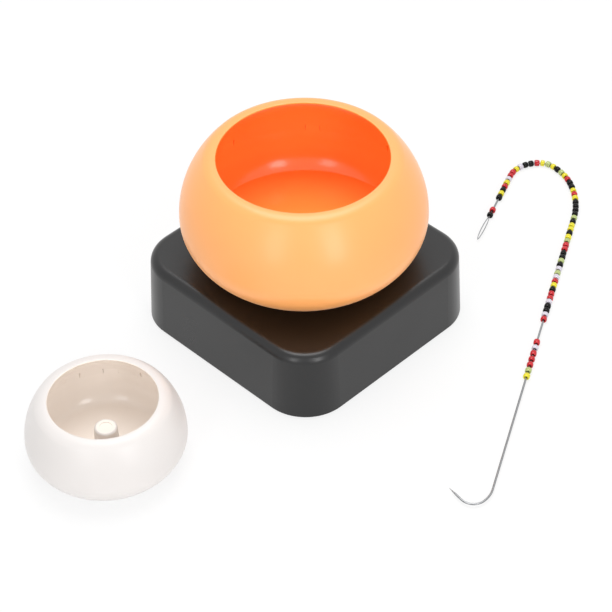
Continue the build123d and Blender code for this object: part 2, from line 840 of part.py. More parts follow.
# Circuit board under its posts, with the parts soldered to it.
board = block(board_x_low, board_x_high, board_y_low, board_edge, board_z, board_top)
for x, y in board_holes:
    board -= rod(x, y, small_screw_radius + run_gap, board_z - overrun, board_top + overrun)
put("circuit_board", board)
board_screws = [
    screw_up(
        x, y, board_z, small_screw_radius, small_screw_length, small_screw_head, small_screw_head_high
    )
    for x, y in board_holes
]
put("board_screws", group(board_screws))
part_row_y = board_y_low + 2 * board_hole_inset
board_parts = []
socket_x = bay_x - socket_wide / 2
for x in (-socket_x, socket_x):
    left, right = x - socket_wide / 2, x + socket_wide / 2
    near, far = part_row_y - socket_deep / 2, part_row_y + socket_deep / 2
    board_parts.append(block(left, right, near, far, board_top, board_top + socket_high))
chip_x = (switch_x + usb_x) / 2
chip_near = part_row_y - chip_long / 2
chip_far = part_row_y + chip_long / 2
chip = block(
    chip_x - chip_wide / 2, chip_x + chip_wide / 2, chip_near, chip_far, board_top, board_top + chip_high
)
for k in range(chip_leg_count):
    x = chip_x + chip_wide * ((k + 0.5) / chip_leg_count - 0.5)
    left, right = x - chip_leg_thick / 2, x + chip_leg_thick / 2
    leg_top = board_top + chip_leg_thick
    chip += block(left, right, chip_near - chip_leg, chip_near, board_top, leg_top)
    chip += block(left, right, chip_far, chip_far + chip_leg, board_top, leg_top)
board_parts.append(chip)
capacitor_x = (pot_x + switch_x) / 2
capacitor = rod(capacitor_x, part_row_y, capacitor_radius, board_top, board_top + capacitor_high)
board_parts.append(round_top(capacitor, capacitor_rounding))
put("board_components", group(board_parts))

# Speed control: potentiometer body with its threaded neck, nut, turning shaft and knob.
pot_front = panel_back - fit_gap
pot_rear = pot_front - pot_deep
shaft_start = pot_rear + pot_wall
neck_end = panel_face + thread_out
pot = rod_back(pot_x, panel_middle_z, pot_radius, pot_rear, pot_front)
pot += block(pot_x - pot_foot / 2, pot_x + pot_foot / 2, pot_rear, board_edge, board_top, panel_middle_z)
pot += rod_back(pot_x, panel_middle_z, thread_radius, pot_front, neck_end)
pot -= rod_back(pot_x, panel_middle_z, shaft_radius + run_gap, shaft_start, neck_end + overrun)
put("speed_control", pot)
nut = extrude(RegularPolygon(nut_flats / 2, 6, major_radius=False), nut_thick)
nut = Pos(pot_x, panel_face, panel_middle_z) * Rot(-90, 0, 0) * nut
nut -= rod_back(pot_x, panel_middle_z, thread_radius, panel_face - overrun, panel_face + nut_thick + overrun)
put("control_nut", nut)
knob_near = panel_face + 2 * air_gap
knob_far = knob_near + knob_length
knob_bore_end = knob_far - case_wall
recess_end = neck_end + air_gap
on_foot = (Align.CENTER, Align.CENTER, Align.MIN)
knob = Cone(knob_radius, knob_radius - knob_taper, knob_length, align=on_foot)
knob = fillet(knob.faces().sort_by(Axis.Z)[-1].edges(), knob_rounding)
for k in range(knob_flute_count):
    flute_x, flute_y = around(0, 0, knob_radius + flute_radius / 2, k * 360 / knob_flute_count)
    knob -= rod(flute_x, flute_y, flute_radius, case_wall, knob_length - 2 * knob_rounding)
nut_clear = nut_flats / 2 / cos(radians(30)) + air_gap
knob -= rod(0, 0, nut_clear, -overrun, recess_end - knob_near)
knob -= rod(0, 0, shaft_radius, 0, knob_bore_end - knob_near)
pointer_floor = knob_length - pointer_deep
knob -= block(
    -pointer_wide / 2, pointer_wide / 2, knob_radius / 3, knob_radius, pointer_floor, knob_length + overrun
)
knob_place = Pos(pot_x, knob_near, panel_middle_z) * Rot(-90, 0, 0) * Rot(0, 0, -30)
put("speed_knob", knob_place * knob)
control_shaft = rod_back(
    pot_x, panel_middle_z, shaft_radius, shaft_start + run_gap, knob_bore_end - run_gap
)
put("control_shaft", control_shaft)

# Power switch: a snap-in frame with a rocker on two side pins, and two spade terminals behind.
bezel_far = panel_face + switch_bezel
switch_rear = panel_back - switch_deep
pivot_y = panel_face - switch_lip
cavity_wide = rocker_wide + 2 * air_gap
cavity_high = rocker_high + 2 * rocker_out * sin(radians(rocker_tilt)) + 2 * air_gap
cavity_rear = pivot_y - rocker_root * 3 - air_gap
frame = slab_back(switch_x, panel_middle_z, switch_wide, switch_high, switch_lip, panel_face, bezel_far)
frame += slab_back(
    switch_x, panel_middle_z, switch_body_wide, switch_body_high, switch_lip / 2, switch_rear, panel_face
)
frame -= block(
    switch_x - cavity_wide / 2,
    switch_x + cavity_wide / 2,
    cavity_rear,
    bezel_far + overrun,
    panel_middle_z - cavity_high / 2,
    panel_middle_z + cavity_high / 2,
)
pin_reach = (switch_body_wide + rocker_wide) / 4
pin_bar = Rot(0, 90, 0) * Cylinder(rocker_pin + run_gap, 2 * pin_reach + 2 * run_gap)
frame -= Pos(switch_x, pivot_y, panel_middle_z) * pin_bar
put("switch_frame", frame)
rocker_face = Polygon(
    (-rocker_root, -rocker_high / 2),
    (rocker_out, -rocker_high / 2),
    (rocker_out - rocker_dip, 0),
    (rocker_out, rocker_high / 2),
    (-rocker_root, rocker_high / 2),
    align=None,
)
rocker = extrude(Plane.YZ * rocker_face, rocker_wide / 2, both=True)
rocker += Rot(0, 90, 0) * Cylinder(rocker_pin, 2 * pin_reach)
rocker = Pos(switch_x, pivot_y, panel_middle_z) * Rot(-rocker_tilt, 0, 0) * rocker
put("switch_rocker", rocker)
terminals = []
for side in (-1, 1):
    z = panel_middle_z + side * switch_body_high / 4
    terminals.append(
        block(
            switch_x - terminal_wide / 2,
            switch_x + terminal_wide / 2,
            switch_rear - terminal_long,
            switch_rear,
            z - terminal_thick / 2,
            z + terminal_thick / 2,
        )
    )
put("switch_terminals", group(terminals))

# Power inlet: a small flat socket on the board's edge, with its contact tongue.
usb_mouth = panel_face - fit_gap
usb_rear = usb_mouth - usb_long
usb_shell = slab_back(usb_x, usb_z, usb_wide, usb_high, usb_round, usb_rear, usb_mouth)
usb_hollow_wide = usb_wide - 2 * usb_wall
usb_hollow_high = usb_high - 2 * usb_wall
usb_floor = usb_rear + usb_wall
usb_shell -= slab_back(
    usb_x, usb_z, usb_hollow_wide, usb_hollow_high, usb_round - usb_wall, usb_floor, usb_mouth + overrun
)
put("power_inlet_shell", usb_shell)
tongue = block(
    usb_x - usb_tongue_wide / 2,
    usb_x + usb_tongue_wide / 2,
    usb_floor,
    usb_mouth - usb_long / 3,
    usb_z - usb_tongue / 2,
    usb_z + usb_tongue / 2,
)
put("power_inlet_tongue", tongue)


# Leads, red and black: from the end plates of the battery bay to a socket on the board, from the
# motor's end cap to the board's underside, and from the switch to the board.
def lead(points):
    route = FilletPolyline(*points, radius=lead_bend)
    start = Plane(origin=route @ 0, z_dir=route % 0)
    return sweep(start * Circle(lead_radius), path=route)


socket_face = part_row_y - socket_deep / 2
socket_entry = board_top + socket_high / 2
corridor = bay_x + bay_wall + lead_space
turn_y = board_y_low - lead_space
motor_tap = can_radius / 2
under_board = (cover_z + board_z) / 2
on_cover = cover_z + 1.5 * lead_radius
battery_red = [
    (bay_x, -bay_side + bay_reach, cell_z),
    (corridor, -bay_side + bay_reach, cell_z),
    (corridor, -bay_side + bay_reach, on_cover),
    (corridor, turn_y, on_cover),
    (corridor, turn_y, socket_entry),
    (socket_x, turn_y, socket_entry),
    (socket_x, socket_face, socket_entry),
]
battery_black = [
    (-bay_x, -bay_side - bay_reach, cell_z),
    (-corridor, -bay_side - bay_reach, cell_z),
    (-corridor, turn_y, socket_entry),
    (-socket_x, turn_y, socket_entry),
    (-socket_x, socket_face, socket_entry),
]


def motor_lead(side, board_x):
    x = motor_x
    y = motor_y + side * motor_tap
    joint_y = part_row_y + lead_space
    return [
        (x, y, can_low),
        (x, y, under_board),
        (board_x, y, under_board),
        (board_x, joint_y, under_board),
        (board_x, joint_y, board_z),
    ]


def switch_lead(side):
    x = switch_x + side * lead_radius * 1.5
    z = panel_middle_z + side * switch_body_high / 4
    drop_y = (switch_rear - terminal_long + part_row_y) / 2
    return [
        (x, switch_rear - terminal_long, z),
        (x, drop_y, z),
        (x, drop_y, board_top),
    ]


put("red_leads", group([lead(battery_red), lead(motor_lead(1, usb_x)), lead(switch_lead(1))]))
black_motor = motor_lead(-1, usb_x - 2 * lead_space)
put("black_leads", group([lead(battery_black), lead(black_motor), lead(switch_lead(-1))]))


# Bowls. Both are turned from the same kind of outline: flattened above and below the widest place.
def ring_profile(radius, reach, middle, low, high):
    """Half of an ellipse centred at the height middle, kept between the heights low and high."""
    oval = Pos(0, middle) * Ellipse(radius, reach)
    window = Pos(radius / 2, (low + high) / 2) * Rectangle(radius, high - low)
    return oval & window


def reach_through(radius, at_radius, rise):
    """The other half axis of an ellipse that is at_radius wide at the height rise."""
    return rise / sqrt(1 - (at_radius / radius) ** 2)


def ellipse_radius(radius, reach, rise):
    return radius * sqrt(1 - (rise / reach) ** 2)


def tab_ring(inner, outer, low, high, count, start, wide):
    ring = tube(0, 0, outer, inner, low, high)
    cutters = [
        Rot(0, 0, start + k * 360 / count) * block(0, outer + overrun, -wide / 2, wide / 2, low, high)
        for k in range(count)
    ]
    return ring & (Part() + cutters)


def bowl_dome(radius, middle, top_reach, rim_high, rim_share, wall, tabs, tab_start):
    """The upper shell: rim_share is the inside radius at the rim, as a share of the widest one."""
    inner = radius - wall
    inner_reach = reach_through(inner, rim_share * inner, rim_high - middle)
    outside = ring_profile(radius, top_reach, middle, middle, rim_high)
    inside = ring_profile(inner, inner_reach, middle, middle, rim_high)
    dome = revolve(Plane.XZ * (outside - inside), Axis.Z)
    lip = dome.faces().sort_by(Axis.Z)[-1].edges().sort_by(SortBy.RADIUS)
    dome = fillet(lip[-1:], lip_rounding)
    lip = dome.edges().filter_by(GeomType.CIRCLE).group_by(Axis.Z)[-1].sort_by(SortBy.RADIUS)
    dome = fillet(lip[:1], lip_inner_rounding)
    rebate = inner + spigot_thick + fit_gap
    dome -= tube(0, 0, rebate, inner - wall, middle - overrun, middle + spigot_high + fit_gap)
    pockets = tab_ring(
        inner - wall, rebate, middle, middle + tab_high + fit_gap, tabs, tab_start, tab_wide + 2 * fit_gap
    )
    return dome - pockets


def bowl_dish(radius, middle, foot_reach, floor_high, floor_share, rounding, wall, tabs, tab_start, ribs):
    """The lower shell: floor_share is the floor's radius, as a share of the widest inside one."""
    inner = radius - wall
    inner_reach = reach_through(inner, floor_share * inner, middle - floor_high)
    outside = ring_profile(radius, foot_reach, middle, 0, middle)
    inside = ring_profile(inner, inner_reach, middle, floor_high, middle)
    under = floor_high - floor_thick
    ring_inner = ellipse_radius(radius, foot_reach, middle) - foot_ring
    under_outer = ellipse_radius(radius, foot_reach, middle - under) - 1.5 * foot_ring
    body = revolve(Plane.XZ * (outside - inside), Axis.Z)
    corner = [e for e in body.edges().filter_by(GeomType.CIRCLE) if abs(e.center().Z - floor_high) < fit_gap]
    body = fillet(corner, rounding)
    recess = revolve(
        Plane.XZ * Polygon((0, 0), (ring_inner, 0), (under_outer, under), (0, under), align=None), Axis.Z
    )
    post_hole = socket_post_root + fit_gap
    boss_outer = post_hole + post_boss_wall
    boss_low = socket_lift + socket_flange
    keep = Part()
    if under > boss_low:
        keep += rod(0, 0, boss_outer, boss_low, floor_high - floor_thick / 2)
    for k in range(ribs):
        rib = block(0, radius, -rib_thick / 2, rib_thick / 2, socket_lift + rib_drop, under)
        keep += Rot(0, 0, k * 360 / ribs) * rib & recess
    if ribs:
        keep -= rod(0, 0, socket_flange_radius + air_gap, 0, boss_low)
    dish = body - recess + keep
    dish += tube(0, 0, inner + spigot_thick, inner, middle - wall, middle + spigot_high)
    dish += tab_ring(
        inner, inner + spigot_thick, middle, middle + tab_high, tabs, tab_start, tab_wide
    )
    dish -= rod(0, 0, post_hole, -overrun, floor_high + overrun)
    return dish


def bowl_socket():
    """The post that rises through a bowl's floor: closed above, with a six-sided socket below."""
    straight = socket_flange + socket_flange
    outline = Polygon(
        (0, 0),
        (socket_post_root, 0),
        (socket_post_root, straight),
        (socket_post_radius, socket_post_high),
        (0, socket_post_high),
        align=None,
    )
    post = revolve(Plane.XZ * outline, Axis.Z)
    post = round_top(post, socket_post_rounding)
    post += rod(0, 0, socket_flange_radius, 0, socket_flange)
    dish_floor = socket_post_high - socket_post_dish
    post -= rod(0, 0, socket_post_dish_radius, dish_floor, socket_post_high + overrun)
    hexagon = RegularPolygon(peg_flats / 2 + fit_gap / 2, 6, major_radius=False)
    return post - extrude(hexagon, socket_depth)


large_dome = bowl_dome(
    bowl_radius,
    bowl_middle,
    bowl_top_reach,
    bowl_rim_high,
    bowl_rim_share,
    bowl_wall,
    bowl_tab_count,
    bowl_tab_angle,
)
large_dish = bowl_dish(
    bowl_radius,
    bowl_middle,
    bowl_foot_reach,
    bowl_floor_high,
    bowl_floor_share,
    bowl_floor_rounding,
    bowl_wall,
    bowl_tab_count,
    bowl_tab_angle,
    rib_count,
)
socket_post = Pos(0, 0, socket_lift) * bowl_socket()
put("large_bowl_dome", Pos(0, 0, bowl_z) * large_dome)
put("large_bowl_dish", Pos(0, 0, bowl_z) * large_dish)
put("large_bowl_socket", Pos(0, 0, bowl_z) * socket_post)

small_dome = bowl_dome(
    spare_radius,
    spare_middle,
    spare_top_reach,
    spare_rim_high,
    spare_rim_share,
    spare_wall,
    spare_tab_count,
    spare_tab_angle,
)
small_dish = bowl_dish(
    spare_radius,
    spare_middle,
    spare_foot_reach,
    spare_floor_high,
    spare_floor_share,
    spare_floor_rounding,
    spare_wall,
    spare_tab_count,
    spare_tab_angle,
    0,
)
put("small_bowl_dome", Pos(spare_x, spare_y, 0) * small_dome)
put("small_bowl_dish", Pos(spare_x, spare_y, 0) * small_dish)
put("small_bowl_socket", Pos(spare_x, spare_y, 0) * socket_post)


# Needle. The wire lies level, held off the table by the beads that are threaded on it.
def bent_wire(start, heading, bends):
    """Edges of a flat wire: each bend is a straight length, or a radius with a clockwise turn."""
    edges = []
    point = Vector(*start)
    direction = Vector(cos(radians(heading)), sin(radians(heading)), 0)
    for length, turn in bends:
        if turn == 0:
            edge = Line(point, point + direction * length)
        else:
            edge = JernArc(point, direction, length, -turn)
        edges.append(edge)
        point = edge @ 1
        direction = edge % 1
    return Wire(edges)


bends = [(needle_leg, 0)]
bends += list(zip(crown_radii, crown_angles))
bends += [(needle_shank, 0)]
bends += list(zip(hook_radii, hook_angles))
bends += [(hook_end, 0)]
needle_path = bent_wire((needle_x, needle_y, bead_radius), needle_angle, bends)
start_plane = Plane(origin=needle_path @ 0, z_dir=needle_path % 0)
needle = sweep(start_plane * Circle(wire_radius), path=needle_path)
end_plane = Plane(origin=needle_path @ 1, z_dir=needle_path % 1)
needle += end_plane * Cone(wire_radius, point_radius, point_long, align=on_foot)
eye_outline = Ellipse(eye_long / 2, eye_wide / 2)
eye_outline -= Ellipse(eye_long / 2 - 2 * eye_strand, eye_wide / 2 - eye_strand)
eye = extrude(eye_outline, eye_thick / 2, both=True)
eye_place = Pos(needle_x, needle_y, bead_radius) * Rot(0, 0, needle_angle)
eye_place *= Pos(eye_strand - eye_long / 2, 0, 0)
needle += eye_place * eye
put("needle_wire", needle)

bead = Cylinder(bead_radius, bead_length)
bead = fillet(bead.edges(), bead_rounding) - Cylinder(bead_hole, bead_length + overrun)
bead_groups = {code: [] for code in bead_names}


def thread(codes, start, pitch):
    for k, code in enumerate(codes):
        reach = start + k * pitch
        spot = needle_path.position_at(reach, position_mode=PositionMode.LENGTH)
        along = needle_path.tangent_at(reach, position_mode=PositionMode.LENGTH)
        bead_groups[code].append(Plane(origin=spot, z_dir=along) * bead)


for codes, start, pitch in zip(bead_colours, bead_starts, bead_pitches):
    thread(codes, start, pitch)
for code, colour in bead_names.items():
    put("beads_" + colour, group(bead_groups[code]))
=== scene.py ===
import math
import random

import bmesh
import bpy
import numpy
from mathutils import Matrix, Vector


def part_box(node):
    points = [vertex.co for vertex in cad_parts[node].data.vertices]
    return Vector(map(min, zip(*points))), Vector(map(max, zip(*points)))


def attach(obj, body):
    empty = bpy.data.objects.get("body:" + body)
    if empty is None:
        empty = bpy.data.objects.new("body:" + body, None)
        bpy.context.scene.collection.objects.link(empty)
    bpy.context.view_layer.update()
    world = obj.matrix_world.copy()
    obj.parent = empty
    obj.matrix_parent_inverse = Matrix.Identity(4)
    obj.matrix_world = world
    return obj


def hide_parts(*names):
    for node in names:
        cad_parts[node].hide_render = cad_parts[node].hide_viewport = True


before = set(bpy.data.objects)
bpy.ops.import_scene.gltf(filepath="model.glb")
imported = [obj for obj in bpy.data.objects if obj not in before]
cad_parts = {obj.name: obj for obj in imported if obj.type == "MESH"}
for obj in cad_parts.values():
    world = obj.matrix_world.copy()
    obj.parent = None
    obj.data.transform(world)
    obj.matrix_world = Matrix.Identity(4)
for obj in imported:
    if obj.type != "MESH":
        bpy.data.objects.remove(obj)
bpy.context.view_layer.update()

# Motor case: a square shell with leaning walls, injection moulded in black ABS.
# Its mould was spark eroded, so the skin has a very fine, even grain and a satin sheen
# that turns to soft grey wherever it faces the light.
MM = 0.001


def ink(code):
    """An sRGB hex colour as the linear colour that a shader takes."""
    parts = [int(code[i : i + 2], 16) / 255 for i in (1, 3, 5)]
    return [c / 12.92 if c <= 0.04045 else ((c + 0.055) / 1.055) ** 2.4 for c in parts] + [1.0]


def add(tree, kind, settings, links):
    """Adds one shader node, sets it up, and joins its inputs to the sockets named in links."""
    node = tree.nodes.new(kind)
    sockets = {s.name: s for s in reversed(node.inputs)}
    sockets.update({s.identifier: s for s in node.inputs})
    for key, value in settings.items():
        if key in sockets:
            sockets[key].default_value = value
        else:
            setattr(node, key, value)
    for key, source in links.items():
        tree.links.new(source, sockets[key])
    return node


def blank(name, metallic, roughness, ior=None):
    """A new material, its node tree and its shader."""
    material = bpy.data.materials.new(name)
    material.use_nodes = True
    tree = material.node_tree
    shader = tree.nodes["Principled BSDF"]
    shader.inputs["Metallic"].default_value = metallic
    shader.inputs["Roughness"].default_value = roughness
    if ior:
        shader.inputs["IOR"].default_value = ior
    return material, tree, shader


# Most values of a noise lie in this span, so it is what gets stretched over a range of gloss.
noise_span = {"From Min": 0.3, "From Max": 0.7}


def moulded(name, colour, shade, roughness, grain, depth, ior=1.53, cloud=35.0, polish=0.05, hollow=None):
    """A moulded plastic: colour drifts slightly to shade, over a fine grain of size grain.

    A hollow is a point inside a bowl, the colour and roughness of the walls that face it, and the
    colour and strength of a faint painted glow that those walls give off. The inner colour is painted
    bounce light: the same plastic, coloured the way light bounced from wall to wall leaves it. The glow is an
    emission, fitted to the photograph. It stands in for daylight through thin walls, which isn't traced.
    """
    material, tree, shader = blank(name, 0.0, roughness, ior)
    place = add(tree, "ShaderNodeTexCoord", {}, {})
    drift = add(
        tree,
        "ShaderNodeTexNoise",
        {"Scale": 1 / (cloud * MM), "Detail": 3.0, "Roughness": 0.5},
        {"Vector": place.outputs["Object"]},
    )
    colours = add(
        tree,
        "ShaderNodeMix",
        {"data_type": "RGBA", "A_Color": ink(colour), "B_Color": ink(shade)},
        {"Factor_Float": drift.outputs["Fac"]},
    )
    gloss = add(
        tree,
        "ShaderNodeMapRange",
        {**noise_span, "To Min": roughness - polish, "To Max": roughness + polish},
        {"Value": drift.outputs["Fac"]},
    )
    colour_out, gloss_out = colours.outputs[2], gloss.outputs["Result"]
    if hollow:
        centre, painted_bounce_colour, inner_roughness, painted_glow_colour, painted_glow_strength = hollow
        turnover = 0.1
        outward = add(
            tree,
            "ShaderNodeVectorMath",
            {"operation": "SUBTRACT", "Vector_001": centre},
            {"Vector": place.outputs["Object"]},
        )
        ray = add(
            tree,
            "ShaderNodeVectorMath",
            {"operation": "NORMALIZE"},
            {"Vector": outward.outputs["Vector"]},
        )
        facing = add(
            tree,
            "ShaderNodeVectorMath",
            {"operation": "DOT_PRODUCT"},
            {"Vector": ray.outputs["Vector"], "Vector_001": place.outputs["Normal"]},
        )
        within = add(
            tree,
            "ShaderNodeMapRange",
            {"From Min": turnover, "From Max": -turnover, "To Min": 0.0, "To Max": 1.0},
            {"Value": facing.outputs["Value"]},
        )
        # Painted bounce light: the walls facing the hollow take a colour of their own, though they are the
        # same plastic.
        painted_bounce_mix = add(
            tree,
            "ShaderNodeMix",
            {"data_type": "RGBA", "B_Color": ink(painted_bounce_colour)},
            {"Factor_Float": within.outputs["Result"], "A_Color": colour_out},
        )
        satin = add(
            tree,
            "ShaderNodeMix",
            {"data_type": "FLOAT", "B_Float": inner_roughness},
            {"Factor_Float": within.outputs["Result"], "A_Float": gloss_out},
        )
        colour_out, gloss_out = painted_bounce_mix.outputs[2], satin.outputs[0]
        # Painted glow: the walls facing the hollow give off light, though they are no lamp.
        painted_glow = add(
            tree,
            "ShaderNodeMath",
            {"operation": "MULTIPLY", "Value_001": painted_glow_strength},
            {"Value": within.outputs["Result"]},
        )
        shader.inputs["Emission Color"].default_value = ink(painted_glow_colour)
        tree.links.new(painted_glow.outputs["Value"], shader.inputs["Emission Strength"])
    tree.links.new(colour_out, shader.inputs["Base Color"])
    tree.links.new(gloss_out, shader.inputs["Roughness"])
    fine = add(
        tree,
        "ShaderNodeTexNoise",
        {"Scale": 1 / (grain * MM), "Detail": 2.0, "Roughness": 0.6},
        {"Vector": place.outputs["Object"]},
    )
    skin = add(
        tree,
        "ShaderNodeBump",
        {"Strength": 0.35, "Distance": depth * MM},
        {"Height": fine.outputs["Fac"]},
    )
    tree.links.new(skin.outputs["Normal"], shader.inputs["Normal"])
    return material


def dress(material, *nodes):
    """Gives the material to whole nodes of the frame."""
    for name in nodes:
        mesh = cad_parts[name].data
        mesh.materials.clear()
        mesh.materials.append(material)


# The grain of the mould is about 0.2 mm: drawn at 0.5 mm so that it shows in the picture.
case_abs = moulded("moulded_black_abs", "#0f0f10", "#0c0c0d", 0.3, grain=0.5, depth=0.012, polish=0.03)
dress(case_abs, "case_shell")

# Bottom cover and battery door: the same black ABS in a flat plate, screwed up into the shell.
# The parts under the case are never polished, so they look a little drier than the shell.
cover_abs = moulded("moulded_black_abs_underside", "#262626", "#212122", 0.5, grain=0.6, depth=0.03)
dress(cover_abs, "bottom_cover", "battery_door")

# Feet: punched discs of soft rubber, pushed into shallow round holes in the cover.
# Rubber is matt and slightly dusty, with no sharp highlight at all.
foot_rubber = moulded("punched_rubber", "#303030", "#3a3a38", 0.8, grain=0.4, depth=0.05, ior=1.52)
dress(foot_rubber, "rubber_feet")

# Screws: cross head screws of steel, rolled and zinc plated.
# Plating gives a bright, slightly blotched grey with small dull patches.
def metal(name, colour, shade, roughness, grain, depth, stretch=(1, 1, 1)):
    """A bare or plated metal: stretch draws its marks out along the way it was worked."""
    bright, dull = 0.06, 0.08
    material, tree, shader = blank(name, 1.0, roughness)
    place = add(tree, "ShaderNodeTexCoord", {}, {})
    drawn = add(tree, "ShaderNodeMapping", {"Scale": stretch}, {"Vector": place.outputs["Object"]})
    marks = add(
        tree,
        "ShaderNodeTexNoise",
        {"Scale": 1 / (grain * MM), "Detail": 4.0, "Roughness": 0.6},
        {"Vector": drawn.outputs["Vector"]},
    )
    colours = add(
        tree,
        "ShaderNodeMix",
        {"data_type": "RGBA", "A_Color": ink(colour), "B_Color": ink(shade)},
        {"Factor_Float": marks.outputs["Fac"]},
    )
    tree.links.new(colours.outputs[2], shader.inputs["Base Color"])
    gloss = add(
        tree,
        "ShaderNodeMapRange",
        {**noise_span, "To Min": roughness - bright, "To Max": roughness + dull},
        {"Value": marks.outputs["Fac"]},
    )
    tree.links.new(gloss.outputs["Result"], shader.inputs["Roughness"])
    skin = add(
        tree,
        "ShaderNodeBump",
        {"Strength": 0.4, "Distance": depth * MM},
        {"Height": marks.outputs["Fac"]},
    )
    tree.links.new(skin.outputs["Normal"], shader.inputs["Normal"])
    return material


screw_zinc = metal("zinc_plated_steel", "#c9c9c6", "#a8a9a6", 0.3, grain=0.8, depth=0.01)
dress(screw_zinc, "cover_screws", "gear_plate_screws", "motor_screws", "board_screws", "hub_screw")

# Cells: three AA cells in a plain dark sleeve, joined by nickel plated spring steel plates.
# The sleeve is shrunk plastic film with a soft gloss; nickel is brighter and a little yellow.
cell_sleeve = moulded("shrunk_film_sleeve", "#3a4a52", "#33424a", 0.28, grain=2.0, depth=0.02)
nickel = metal("nickel_plated_spring_steel", "#cfc9bb", "#b5b0a4", 0.25, grain=1.0, depth=0.005)
dress(cell_sleeve, "aa_cells")
dress(nickel, "battery_contacts", "battery_springs", "switch_terminals", "control_nut")
dress(nickel, "power_inlet_shell")

# Gear plate: glass filled nylon, which looks dry and faintly streaked by its fibres.
plate_nylon = moulded("glass_filled_nylon", "#55585b", "#484b4e", 0.6, grain=0.7, depth=0.05)
dress(plate_nylon, "gear_plate")

# Gears and washers: plain acetal, milky white and waxy, slightly see-through at thin edges.
gear_acetal = moulded("natural_acetal", "#e9e6da", "#dedbcd", 0.35, grain=1.0, depth=0.01, ior=1.48)
gear_acetal.node_tree.nodes["Principled BSDF"].inputs["Subsurface Weight"].default_value = 0.15
gear_acetal.node_tree.nodes["Principled BSDF"].inputs["Subsurface Scale"].default_value = 1 * MM
dress(gear_acetal, "idler_gear", "spindle_gear", "idler_washer", "thrust_washer")

# Shafts: centreless ground steel, with very fine rings round each shaft.
ground_steel = metal("ground_steel", "#c4c5c7", "#a3a5a8", 0.2, grain=3.0, depth=0.004, stretch=(1, 1, 12))
dress(ground_steel, "spindle", "spindle_clip", "idler_pin", "motor_shaft", "control_shaft")

# Bushes and pinion: pressed bronze powder, oiled, so it is brown gold with dark pores.
oiled_bronze = metal("oiled_sintered_bronze", "#b98b4c", "#7d5a2c", 0.45, grain=0.6, depth=0.02)
dress(oiled_bronze, "lower_bush", "upper_bush", "motor_bushes", "motor_pinion")

# Motor: a drawn steel can with ferrite magnets, a stacked rotor wound with enamelled wire,
# and a plastic end cap that holds two copper brushes.
can_steel = metal(
    "drawn_plated_steel",
    "#bdbfc0",
    "#a2a4a6",
    0.32,
    grain=4.0,
    depth=0.008,
    stretch=(1, 1, 0.2),
)
ferrite = moulded("sintered_ferrite", "#3b3b3d", "#323234", 0.65, grain=0.5, depth=0.05)
lamination = metal(
    "stacked_core_steel",
    "#8c8e90",
    "#6f7174",
    0.4,
    grain=0.9,
    depth=0.03,
    stretch=(0.2, 0.2, 3),
)
wire_enamel = metal("enamelled_copper", "#c0632f", "#8f4420", 0.28, grain=0.5, depth=0.08, stretch=(1, 1, 4))
dress(can_steel, "motor_can")
dress(ferrite, "motor_magnets")
dress(lamination, "rotor_core")
dress(wire_enamel, "rotor_windings", "commutator", "motor_brushes")
cap_nylon = moulded("black_nylon", "#202022", "#1b1b1c", 0.5, grain=0.6, depth=0.03)
dress(cap_nylon, "motor_end_cap", "board_components", "power_inlet_tongue", "switch_frame")

# Circuit board: glass epoxy under green solder mask, glossy, with the weave just showing.
mask, tree, shader = blank("green_solder_mask", 0.0, 0.25, 1.5)
place = add(tree, "ShaderNodeTexCoord", {}, {})
weave = add(
    tree,
    "ShaderNodeTexBrick",
    {
        "Color1": ink("#0f5a2c"),
        "Color2": ink("#0c4d25"),
        "Mortar": ink("#14692f"),
        "Scale": 1.0,
        "Brick Width": 1.2 * MM,
        "Row Height": 0.6 * MM,
        "Mortar Size": 0.08 * MM,
    },
    {"Vector": place.outputs["Object"]},
)
tree.links.new(weave.outputs["Color"], shader.inputs["Base Color"])
skin = add(tree, "ShaderNodeBump", {"Strength": 0.2, "Distance": 0.01 * MM}, {"Height": weave.outputs["Fac"]})
tree.links.new(skin.outputs["Normal"], shader.inputs["Normal"])
dress(mask, "circuit_board")

# Leads: stranded copper in red and black PVC, extruded, so smooth with a soft gloss.
red_pvc = moulded("red_pvc", "#b01818", "#9c1414", 0.4, grain=1.0, depth=0.01, ior=1.54)
black_pvc = moulded("black_pvc", "#1c1c1c", "#171717", 0.4, grain=1.0, depth=0.01, ior=1.54)
dress(red_pvc, "red_leads")
dress(black_pvc, "black_leads")

# Speed control and knob: a plated steel body, and a fluted knob moulded in black ABS.
control_steel = metal("passivated_steel", "#b4ad98", "#9a9480", 0.35, grain=1.5, depth=0.01)
knob_abs = moulded("moulded_black_abs_knob", "#242425", "#1f1f20", 0.38, grain=0.5, depth=0.02)
dress(control_steel, "speed_control")
dress(knob_abs, "speed_knob")

# Rocker: the same kind of switch as on a table lamp, glossy black nylon from a polished mould.
rocker_nylon = moulded("polished_black_nylon", "#1a1a1b", "#161617", 0.18, grain=3.0, depth=0.005)
dress(rocker_nylon, "switch_rocker")

# Drive hub: black acetal, the peg and its flange in one piece, rubbed a little by the bowls.
hub_acetal = moulded("black_acetal", "#1d1d1e", "#2a2a2b", 0.4, grain=0.8, depth=0.02, ior=1.48)
dress(hub_acetal, "drive_hub")

# Large bowl: two shells of orange ABS that snap together at the widest place.
# It is satin outside, so broad lights lie on it softly, and smoother inside, where lights are
# small. Inside, bounced light, a deeper orange painted on the inner walls as painted bounce light, and a
# faint painted red glow of the walls make the orange deep.
def hollow_of(dome):
    """A point inside a bowl, a fifth of the way up its upper shell."""
    low, high = (Vector(corner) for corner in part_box(dome))
    return ((low.x + high.x) / 2, (low.y + high.y) / 2, low.z + (high.z - low.z) / 5)


